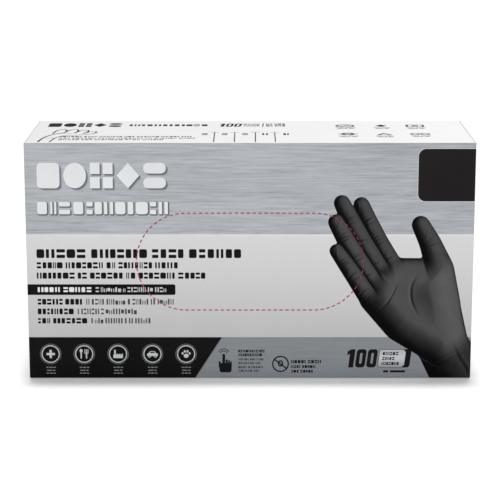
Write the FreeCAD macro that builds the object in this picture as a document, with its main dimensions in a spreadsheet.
"""Glove dispenser carton: a folded paperboard box of one hundred disposable gloves.

Row frame, millimetres: the carton stands on its long narrow side, +Z up, its printed face with the
tear-out opening looks along -Y, and its long side runs along X. The origin is the middle of the base.

The carton is one die-cut blank. Its four sleeve panels are mitred at their creases, the glue flap closes the
tube inside the back panel, and each end has a tuck flap with a lip and two dust flaps. Every folding edge
carries a round bead of pressed board on the crease's own axis, which is where the flap turns.
"""
import FreeCAD, Part
import os
import math
import Sketcher

doc = FreeCAD.newDocument("GloveBox")

# ---------------------------------------------------------------- driving dimensions
sheet = doc.addObject("Spreadsheet::Sheet", "Dims")
TABLE = [
    ("box_length", 240.0, "outside, along X"),
    ("box_depth", 75.0, "outside, along Y"),
    ("box_height", 130.0, "outside, along Z"),
    ("board", 0.5, "paperboard thickness"),
    ("crease_gap", 0.27, "crease axis to the panel that stays"),
    ("bead_radius", 0.25, "pressed board on a crease axis"),
    ("bead_reach", 0.2, "crease axis to the start of the flap's board"),
    ("opening_width", 122.0, "tear-out opening, along X"),
    ("opening_height", 53.4, "tear-out opening, along Z"),
    ("kerf", 0.15, "perforation cut, opening to tear-out panel"),
    ("dust_play", 0.1, "tuck flap to dust flap"),
    ("tuck_relief", 0.75, "tuck flap's side edges, short of the box"),
    ("lip_play", 1.3, "tuck lip to back panel"),
    ("lip_length", 11.0, "tuck lip from its crease"),
    ("lip_relief", 2.5, "tuck lip's ends, short of the box"),
    ("lip_corner", 6.0, "tuck lip's corner radius"),
    ("dust_length", 36.0, "dust flap from its crease"),
    ("dust_relief", 1.1, "dust flap's crease, short of the tuck flap's crease"),
    ("dust_taper", 0.62, "front edge's setback per millimetre of length"),
    ("dust_shoulder", 2.0, "depth of the shoulder beside the lip"),
    ("dust_notch", 2.6, "shoulder's setback beside the lip"),
    ("dust_taper_back", 0.268, "back edge's setback per millimetre of length"),
    ("glue_film", 0.1, "adhesive thickness"),
    ("glue_flap_width", 15.0, "glue flap, along Z"),
    ("glue_flap_length", 214.0, "glue flap at its crease"),
    ("glue_flap_taper", 4.0, "glue flap's end taper"),
    ("glue_width", 9.0, "adhesive strip, along Z"),
    ("glue_length", 198.0, "adhesive strip, along X"),
    ("glove_count", 100.0, "gloves in the carton"),
    ("glove_ply", 0.24, "two plies of film lying flat"),
    ("glove_pitch", 0.65, "one packed glove, with its folds"),
    ("glove_first", -30.2, "front of the first glove"),
    ("glove_length", 228.0, "packed glove, cuff to middle fingertip"),
    ("glove_cuff", 94.0, "flat cuff width"),
    ("glove_palm", 97.0, "flat palm width"),
    ("glove_finger", 22.0, "flat finger width"),
    ("glove_low", 3.0, "lowest edge of a glove above the base"),
]
VALUES = {}
for row, (alias, value, note) in enumerate(TABLE, start=1):
    sheet.set("A%d" % row, note)
    sheet.set("B%d" % row, repr(value))
    sheet.setAlias("B%d" % row, alias)
    VALUES[alias] = value
doc.recompute()


class Q:
    """A size that knows its number and the spreadsheet expression that gives it."""

    def __init__(self, value, text):
        self.value, self.text = float(value), text

    @staticmethod
    def of(x):
        return x if isinstance(x, Q) else Q(x, repr(float(x)))

    def __add__(self, o):
        o = Q.of(o)
        return Q(self.value + o.value, "(%s + %s)" % (self.text, o.text))

    def __sub__(self, o):
        o = Q.of(o)
        return Q(self.value - o.value, "(%s - %s)" % (self.text, o.text))

    def __mul__(self, o):
        o = Q.of(o)
        return Q(self.value * o.value, "(%s * %s)" % (self.text, o.text))

    def __truediv__(self, o):
        o = Q.of(o)
        return Q(self.value / o.value, "(%s / %s)" % (self.text, o.text))

    def __neg__(self):
        return Q(-self.value, "(0 - %s)" % self.text)

    __radd__ = __add__
    __rmul__ = __mul__

    def __rsub__(self, o):
        return Q.of(o) - self


def dim(alias):
    return Q(VALUES[alias], "Dims." + alias)


LENGTH, DEPTH, HEIGHT, BOARD = dim("box_length"), dim("box_depth"), dim("box_height"), dim("board")
GAP, BEAD, REACH = dim("crease_gap"), dim("bead_radius"), dim("bead_reach")
SUBPARTS = []


# ---------------------------------------------------------------- helpers
def new_body(label):
    body = doc.addObject("PartDesign::Body", label)
    body.Label = label
    SUBPARTS.append(body)
    return body


def place(obj, x, y, z, rotation=None):
    """Puts a sub-part at a point given by spreadsheet expressions."""
    x, y, z = Q.of(x), Q.of(y), Q.of(z)
    obj.Placement = FreeCAD.Placement(
        FreeCAD.Vector(x.value, y.value, z.value), rotation or FreeCAD.Rotation()
    )
    obj.setExpression(".Placement.Base.x", x.text)
    obj.setExpression(".Placement.Base.y", y.text)
    obj.setExpression(".Placement.Base.z", z.text)


def turned(x_axis, y_axis):
    """The rotation that takes local X and Y to these directions."""
    x_axis, y_axis = FreeCAD.Vector(*x_axis), FreeCAD.Vector(*y_axis)
    return FreeCAD.Rotation(x_axis, y_axis, x_axis.cross(y_axis), "XYZ")


def new_sketch(body, role, name):
    plane = [f for f in body.Origin.OriginFeatures if f.Role == role][0]
    sketch = body.newObject("Sketcher::SketchObject", body.Name + "_" + name)
    sketch.AttachmentSupport = (plane, [""])
    sketch.MapMode = "FlatFace"
    return sketch


def bind(sketch, index, q):
    sketch.setExpression("Constraints[%d]" % index, q.text)


def pin(sketch, geo, pos, axis, q):
    """Fixes one coordinate of a sketch point at a spreadsheet value."""
    q = Q.of(q)
    kind, origin_line = ("DistanceX", -2) if axis == "x" else ("DistanceY", -1)
    if abs(q.value) < 1e-9:
        sketch.addConstraint(Sketcher.Constraint("PointOnObject", geo, pos, origin_line))
    elif q.value > 0:
        bind(sketch, sketch.addConstraint(Sketcher.Constraint(kind, -1, 1, geo, pos, q.value)), q)
    else:
        bind(sketch, sketch.addConstraint(Sketcher.Constraint(kind, geo, pos, -1, 1, -q.value)), -q)


def outline(sketch, vertices):
    """A closed outline. Each vertex is (x, y) for a straight edge to the next one,
    or (x, y, (cx, cy), ccw) for an arc to the next one about that centre."""
    count = len(vertices)
    ends, centres = [], []
    for i, v in enumerate(vertices):
        w = vertices[(i + 1) % count]
        a = FreeCAD.Vector(Q.of(v[0]).value, Q.of(v[1]).value, 0)
        b = FreeCAD.Vector(Q.of(w[0]).value, Q.of(w[1]).value, 0)
        if len(v) == 2:
            geo = sketch.addGeometry(Part.LineSegment(a, b), False)
            ends.append((geo, 1, 2))
        else:
            centre, ccw = v[2], v[3]
            c = FreeCAD.Vector(Q.of(centre[0]).value, Q.of(centre[1]).value, 0)
            first, last = (a, b) if ccw else (b, a)
            start = math.atan2(first.y - c.y, first.x - c.x)
            stop = math.atan2(last.y - c.y, last.x - c.x)
            circle = Part.Circle(c, FreeCAD.Vector(0, 0, 1), (a - c).Length)
            geo = sketch.addGeometry(Part.ArcOfCircle(circle, start, stop), False)
            ends.append((geo, 1, 2) if ccw else (geo, 2, 1))
            # between two fixed ends the centre can only slide across the chord
            if abs(b.y - a.y) > abs(b.x - a.x):
                centres.append((geo, 3, "x", centre[0]))
            else:
                centres.append((geo, 3, "y", centre[1]))
    for i in range(count):
        geo, _, end = ends[i]
        following, start, _ = ends[(i + 1) % count]
        sketch.addConstraint(Sketcher.Constraint("Coincident", geo, end, following, start))
        x, y = vertices[(i + 1) % count][:2]
        pin(sketch, following, start, "x", x)
        pin(sketch, following, start, "y", y)
    for geo, pos, axis, q in centres:
        pin(sketch, geo, pos, axis, q)


def pad(body, sketch, length, name):
    """A pad centred on the sketch's plane."""
    feature = body.newObject("PartDesign::Pad", body.Name + "_" + name)
    feature.Profile = sketch
    feature.Length = length.value
    feature.setExpression("Length", length.text)
    if hasattr(feature, "SideType"):
        feature.SideType = "Symmetric"
    else:
        feature.Midplane = True
    body.Tip = feature
    doc.recompute()
    return feature


def stadium(sketch, width, height):
    """A slot outline with half-round ends, centred on the sketch's origin."""
    r = height / 2
    flat = width / 2 - r
    outline(
        sketch,
        [
            (-flat, -r),
            (flat, -r, (flat, 0), True),
            (flat, r),
            (-flat, r, (-flat, 0), True),
        ],
    )


# ---------------------------------------------------------------- sleeve panels
ROOT_HALF = math.sqrt(0.5)


def panel_end(side, kind, width):
    """One end of a panel's profile: its outer corner, the middle of its rounded crease if it has one, and its inner corner.
    A mitre follows the crease to its middle, an inner end stops at the next panel's inner face, and a full end runs to the corner."""
    half = width / 2
    inner = ((half - BOARD) * side, BOARD)
    if kind == "mitre":
        middle = ((half - BOARD + BOARD * ROOT_HALF) * side, BOARD * (1 - ROOT_HALF))
        return (inner[0], 0), middle, inner
    if kind == "inner":
        return (inner[0], 0), None, inner
    return (half * side, 0), None, (half * side, BOARD)


def sleeve_panel(label, width, length, left, right):
    """A panel with its outer face at local Z 0 and its inner face at Z board, padded along X."""
    body = new_body(label)
    sketch = new_sketch(body, "YZ_Plane", "profile")
    l_outer, l_middle, l_inner = panel_end(-1, left, width)
    r_outer, r_middle, r_inner = panel_end(1, right, width)
    if r_middle:
        vertices = [r_outer + (r_inner, True), r_middle, r_inner, l_inner]
    else:
        vertices = [r_outer, r_inner, l_inner]
    if l_middle:
        vertices.append(l_middle + (l_inner, True))
    vertices.append(l_outer)
    outline(sketch, vertices)
    pad(body, sketch, length, "pad")
    return body


AXIS_X = FreeCAD.Vector(1, 0, 0)
TUCK_AXIS_X = LENGTH / 2 - BOARD / 2
DUST_AXIS_X = LENGTH / 2 - BOARD - dim("dust_play") - BOARD / 2
FRONT_LENGTH = (TUCK_AXIS_X - GAP) * 2
SHORT_LENGTH = (DUST_AXIS_X - GAP) * 2

bottom_panel = sleeve_panel("bottom_panel", DEPTH, SHORT_LENGTH, "mitre", "mitre")
place(bottom_panel, 0, 0, 0)

# local +Y runs down the front panel, so its left end is the top crease
front_panel = sleeve_panel("front_panel", HEIGHT, FRONT_LENGTH, "mitre", "mitre")
place(front_panel, 0, -DEPTH / 2, HEIGHT / 2, FreeCAD.Rotation(AXIS_X, -90))

# local +Y runs up the back panel; its top edge is the blank's raw edge over the glue flap
back_panel = sleeve_panel("back_panel", HEIGHT, LENGTH, "mitre", "full")
place(back_panel, 0, DEPTH / 2, HEIGHT / 2, FreeCAD.Rotation(AXIS_X, 90))

# local +Y runs forward on the top panel, so its left end meets the back panel
top_panel = sleeve_panel("top_panel", DEPTH, SHORT_LENGTH, "inner", "mitre")
place(top_panel, 0, 0, HEIGHT, FreeCAD.Rotation(AXIS_X, 180))

# the tear-out opening through the front panel
whole_front = front_panel.Shape.Volume
cut_sketch = new_sketch(front_panel, "XY_Plane", "opening")
stadium(cut_sketch, dim("opening_width"), dim("opening_height"))
cut = front_panel.newObject("PartDesign::Pocket", "front_panel_opening_cut")
cut.Profile = cut_sketch
cut.Type = 1
if hasattr(cut, "SideType"):
    cut.SideType = "Symmetric"
else:
    cut.Midplane = True
front_panel.Tip = cut
doc.recompute()
r_open = VALUES["opening_height"] / 2
opening_area = math.pi * r_open ** 2 + (VALUES["opening_width"] - 2 * r_open) * 2 * r_open
removed = whole_front - front_panel.Shape.Volume
if abs(removed - opening_area * VALUES["board"]) > 1.0:
    raise RuntimeError("the opening removed %.1f mm3, not %.1f" % (removed, opening_area * VALUES["board"]))

# ---------------------------------------------------------------- tear-out panel
tear = new_body("tear_out_panel")
tear_sketch = new_sketch(tear, "XY_Plane", "outline")
stadium(tear_sketch, dim("opening_width") - dim("kerf") * 2, dim("opening_height") - dim("kerf") * 2)
pad(tear, tear_sketch, BOARD, "pad")
place(tear, 0, -DEPTH / 2 + BOARD / 2, HEIGHT / 2, FreeCAD.Rotation(AXIS_X, -90))


# ---------------------------------------------------------------- flaps
def flap(label, vertices, crease):
    """A flap that turns about local X. Its board starts just off the crease and runs along local +Y,
    centred on local Z 0, and the bead of pressed board runs along the crease."""
    body = new_body(label)
    sketch = new_sketch(body, "XY_Plane", "outline")
    outline(sketch, vertices)
    pad(body, sketch, BOARD, "pad")
    bead = new_sketch(body, "YZ_Plane", "bead")
    circle = bead.addGeometry(Part.Circle(FreeCAD.Vector(0, 0, 0), FreeCAD.Vector(0, 0, 1), BEAD.value), False)
    bead.addConstraint(Sketcher.Constraint("Coincident", circle, 3, -1, 1))
    bind(bead, bead.addConstraint(Sketcher.Constraint("Radius", circle, BEAD.value)), BEAD)
    pad(body, bead, crease, "bead_pad")
    return body


HALF_HEIGHT = HEIGHT / 2
TUCK_HALF = HALF_HEIGHT - dim("tuck_relief")
FRONT_AXIS_Y = -DEPTH / 2 + BOARD / 2
LIP_AXIS_Y = DEPTH / 2 - BOARD - dim("lip_play") - BOARD / 2
TUCK_LENGTH = LIP_AXIS_Y - FRONT_AXIS_Y - GAP
LIP_HALF = HALF_HEIGHT - dim("lip_relief")
LIP, CORNER = dim("lip_length"), dim("lip_corner")

# dust flap outline: local X is the row's +Y, measured from the box's middle; local Y is the distance from the crease
DUST = dim("dust_length")
FRONT_EDGE = FRONT_AXIS_Y + dim("dust_relief")
BACK_EDGE = DEPTH / 2 - BOARD - 0.4
SHOULDER, NOTCH = dim("dust_shoulder"), dim("dust_notch")
FRONT_TAPER, BACK_TAPER = dim("dust_taper"), dim("dust_taper_back")

for side, sign in (("left", -1), ("right", 1)):
    tuck = flap(
        side + "_tuck_flap",
        [
            (-TUCK_HALF, REACH),
            (TUCK_HALF, REACH),
            (TUCK_HALF, TUCK_LENGTH),
            (-TUCK_HALF, TUCK_LENGTH),
        ],
        TUCK_HALF * 2,
    )
    place(tuck, TUCK_AXIS_X * sign, FRONT_AXIS_Y, HALF_HEIGHT, turned((0, 0, 1), (0, 1, 0)))

    lip = flap(
        side + "_tuck_lip",
        [
            (-LIP_HALF, REACH),
            (LIP_HALF, REACH),
            (LIP_HALF, LIP - CORNER, (LIP_HALF - CORNER, LIP - CORNER), True),
            (LIP_HALF - CORNER, LIP),
            (-(LIP_HALF - CORNER), LIP, (-(LIP_HALF - CORNER), LIP - CORNER), True),
            (-LIP_HALF, LIP - CORNER),
        ],
        LIP_HALF * 2,
    )
    place(lip, TUCK_AXIS_X * sign, LIP_AXIS_Y, HALF_HEIGHT, turned((0, 0, 1), (-sign, 0, 0)))

    for level, direction in (("upper", -1), ("lower", 1)):
        dust = flap(
            side + "_" + level + "_dust_flap",
            [
                (FRONT_EDGE + FRONT_TAPER * REACH, REACH),
                (BACK_EDGE, REACH),
                (BACK_EDGE, SHOULDER),
                (BACK_EDGE - NOTCH, SHOULDER),
                (BACK_EDGE - NOTCH - BACK_TAPER * (DUST - SHOULDER), DUST),
                (FRONT_EDGE + FRONT_TAPER * DUST, DUST),
            ],
            (BACK_EDGE - 0.3) * 2,
        )
        z = HEIGHT - BOARD / 2 if level == "upper" else BOARD / 2
        place(dust, DUST_AXIS_X * sign, 0, z, turned((0, 1, 0), (0, 0, direction)))

# ---------------------------------------------------------------- glue seam, inside the back panel
glue_flap = new_body("glue_flap")
glue_sketch = new_sketch(glue_flap, "XY_Plane", "outline")
GF_HALF, GF_TAPER, GF_WIDTH = dim("glue_flap_length") / 2, dim("glue_flap_taper"), dim("glue_flap_width")
outline(
    glue_sketch,
    [
        (-GF_HALF, 0),
        (-(GF_HALF - GF_TAPER), -GF_WIDTH),
        (GF_HALF - GF_TAPER, -GF_WIDTH),
        (GF_HALF, 0),
    ],
)
pad(glue_flap, glue_sketch, BOARD, "pad")
GLUE_Y = DEPTH / 2 - BOARD - dim("glue_film")
place(glue_flap, 0, GLUE_Y - BOARD / 2, HEIGHT - BOARD, FreeCAD.Rotation(AXIS_X, 90))

seam_glue = doc.addObject("Part::Box", "seam_glue")
seam_glue.Label = "seam_glue"
for prop, q in (("Length", dim("glue_length")), ("Width", dim("glue_film")), ("Height", dim("glue_width"))):
    setattr(seam_glue, prop, q.value)
    seam_glue.setExpression(prop, q.text)
place(seam_glue, -dim("glue_length") / 2, GLUE_Y, HEIGHT - BOARD - GF_WIDTH + 3.0)
SUBPARTS.append(seam_glue)
doc.recompute()


# ---------------------------------------------------------------- gloves
def size(alias):
    return float(sheet.get(alias))


def capsule(a, b, radius, ply):
    """A finger: a flat bar with round ends from a to b."""
    a, b = FreeCAD.Vector(*a, 0), FreeCAD.Vector(*b, 0)
    along = (b - a).normalize()
    side = FreeCAD.Vector(-along.y, along.x, 0) * radius
    edges = [
        Part.LineSegment(a - side, b - side).toShape(),
        Part.Arc(b - side, b + along * radius, b + side).toShape(),
        Part.LineSegment(b + side, a + side).toShape(),
        Part.Arc(a + side, a - along * radius, a - side).toShape(),
    ]
    return Part.Face(Part.Wire(edges)).extrude(FreeCAD.Vector(0, 0, ply))


def flat_glove():
    """A flat ambidextrous glove: local X from cuff to middle fingertip, local Y towards the thumb, Z through its plies."""
    length, cuff, palm = size("glove_length"), size("glove_cuff"), size("glove_palm")
    finger, ply = size("glove_finger"), size("glove_ply")
    r = finger / 2
    k = length / 228.0
    corners = [
        (0, -cuff / 2),
        (46 * k, -palm / 2 + 0.5),
        (98 * k, -palm / 2 - 1.0),
        (112 * k, -palm / 2 + 1.5),
        (116 * k, -2),
        (112 * k, palm / 2 - 2.0),
        (58 * k, palm / 2 + 0.5),
        (0, cuff / 2),
    ]
    points = [FreeCAD.Vector(x, y, 0) for x, y in corners]
    shape = Part.Face(Part.makePolygon(points + points[:1])).extrude(FreeCAD.Vector(0, 0, ply))
    fingers = [
        capsule((98 * k, -38.5), (178 * k, -43.5), r - 0.5, ply),
        capsule((108 * k, -14.5), (206 * k, -17.0), r, ply),
        capsule((110 * k, 10.5), (length - r, 11.0), r, ply),
        capsule((106 * k, 35.0), (205 * k, 38.5), r, ply),
        capsule((52 * k, 34.0), (122 * k, 55.5), r + 1.0, ply),
    ]
    shape = shape.fuse(fingers).removeSplitter()
    return shape.Solids[0]


GLOVE = flat_glove()
GLOVE_BOX = GLOVE.BoundBox


def glove_at(index):
    """Glove number index from the front. Cuffs and thumbs lie at alternate ends and sides, so that the stack stays even."""
    shape = GLOVE.copy()
    cuff_left, thumb_up = index % 2 == 0, index % 4 < 2
    low, half = size("glove_low"), size("glove_length") / 2
    x_axis = (1, 0, 0) if cuff_left else (-1, 0, 0)
    z_axis = (0, 0, 1) if thumb_up else (0, 0, -1)
    base_z = low - GLOVE_BOX.YMin if thumb_up else low + 1.5 + GLOVE_BOX.YMax
    base_x = -half if cuff_left else half
    rotation = turned(x_axis, z_axis)
    normal = rotation.multVec(FreeCAD.Vector(0, 0, 1))
    y = size("glove_first") + size("glove_pitch") * index
    if normal.y < 0:
        y += size("glove_ply")
    shape.Placement = FreeCAD.Placement(FreeCAD.Vector(base_x, y, base_z), rotation)
    return shape


def glove_node(label, indices):
    feature = doc.addObject("Part::Feature", label)
    feature.Label = label
    solids = [glove_at(i) for i in indices]
    feature.Shape = solids[0] if len(solids) == 1 else Part.makeCompound(solids)
    feature.Placement = FreeCAD.Placement() if len(solids) > 1 else solids[0].Placement
    SUBPARTS.append(feature)


COUNT = int(size("glove_count"))
glove_node("top_glove", [0])
PER_STACK = 11
for number in range((COUNT - 1) // PER_STACK):
    first = 1 + number * PER_STACK
    glove_node("glove_stack_%d" % (number + 1), range(first, first + PER_STACK))
doc.recompute()

# ---------------------------------------------------------------- checks and export
for obj in doc.Objects:
    if "Invalid" in obj.State or "Error" in obj.State:
        raise RuntimeError("%s is in state %s" % (obj.Label, obj.State))
labels = [obj.Label for obj in SUBPARTS]
if len(set(labels)) != len(labels):
    raise RuntimeError("two sub-parts share a label")
for obj in SUBPARTS:
    shape = obj.Shape
    if shape.isNull() or not shape.isValid() or not shape.Solids:
        raise RuntimeError("%s has no valid solid" % obj.Label)

os.makedirs("parts", exist_ok=True)
for obj in SUBPARTS:
    obj.Shape.exportStep(os.path.join("parts", obj.Label + ".step"))
    b = obj.Shape.BoundBox
    print(
        "%-24s solids %2d  volume %9.1f  x %8.2f %8.2f  y %7.2f %7.2f  z %7.2f %7.2f"
        % (obj.Label, len(obj.Shape.Solids), obj.Shape.Volume, b.XMin, b.XMax, b.YMin, b.YMax, b.ZMin, b.ZMax)
    )
print("%d sub-parts, %d gloves" % (len(SUBPARTS), COUNT))
